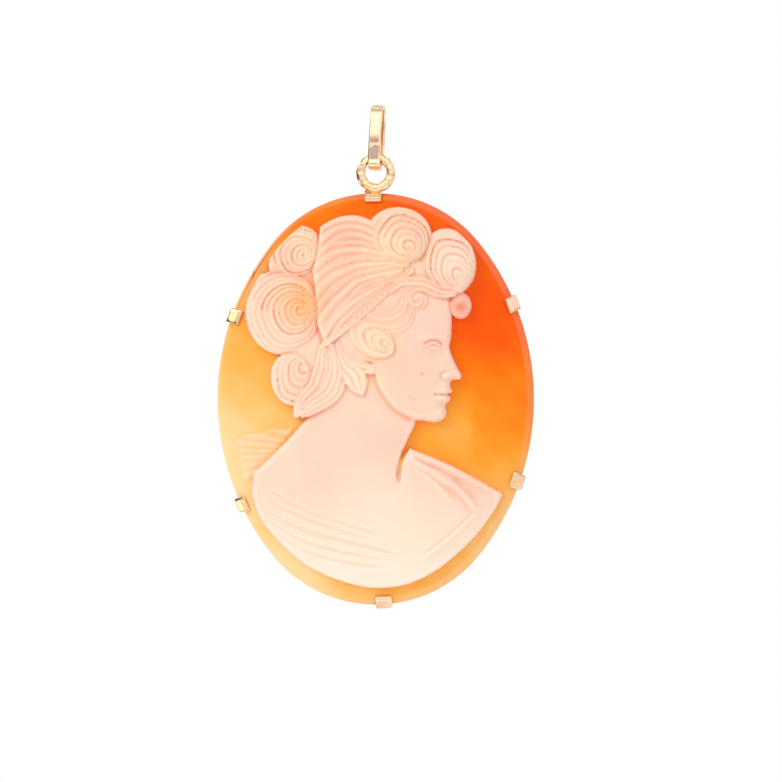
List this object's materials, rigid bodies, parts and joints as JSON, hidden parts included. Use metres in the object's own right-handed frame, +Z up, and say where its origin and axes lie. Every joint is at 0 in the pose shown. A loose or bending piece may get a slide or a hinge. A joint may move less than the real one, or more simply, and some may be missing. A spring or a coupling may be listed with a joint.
{
  "type": "shell cameo pendant",
  "caption": "Oval carved shell cameo in a gold claw frame, hung by a soldered ring from a loose strip bail that takes a neck chain.",
  "frame": {"origin": "inner top of the bail, where a neck chain bears", "axes": "+Z up, -Y toward the carved front, +X to the right as seen from the front and along the chain"},
  "size_m": [0.0346, 0.0066, 0.0552],
  "materials": {
    "rose_gold": "polished pale rose gold",
    "carved_shell": "polished shell, pale pink carving on an orange ground"
  },
  "bodies": {
    "bail": {"bail": "rose_gold"},
    "pendant": {"setting": "rose_gold", "cameo": "carved_shell"}
  },
  "joints": [
    {"name": "pendant_swing", "type": "hinge", "parent": "bail", "child": "pendant", "pos_m": [-0.00032, 0, -0.00524], "axis": [1, 0, 0], "range_deg": [-110, 110]}
  ]
}
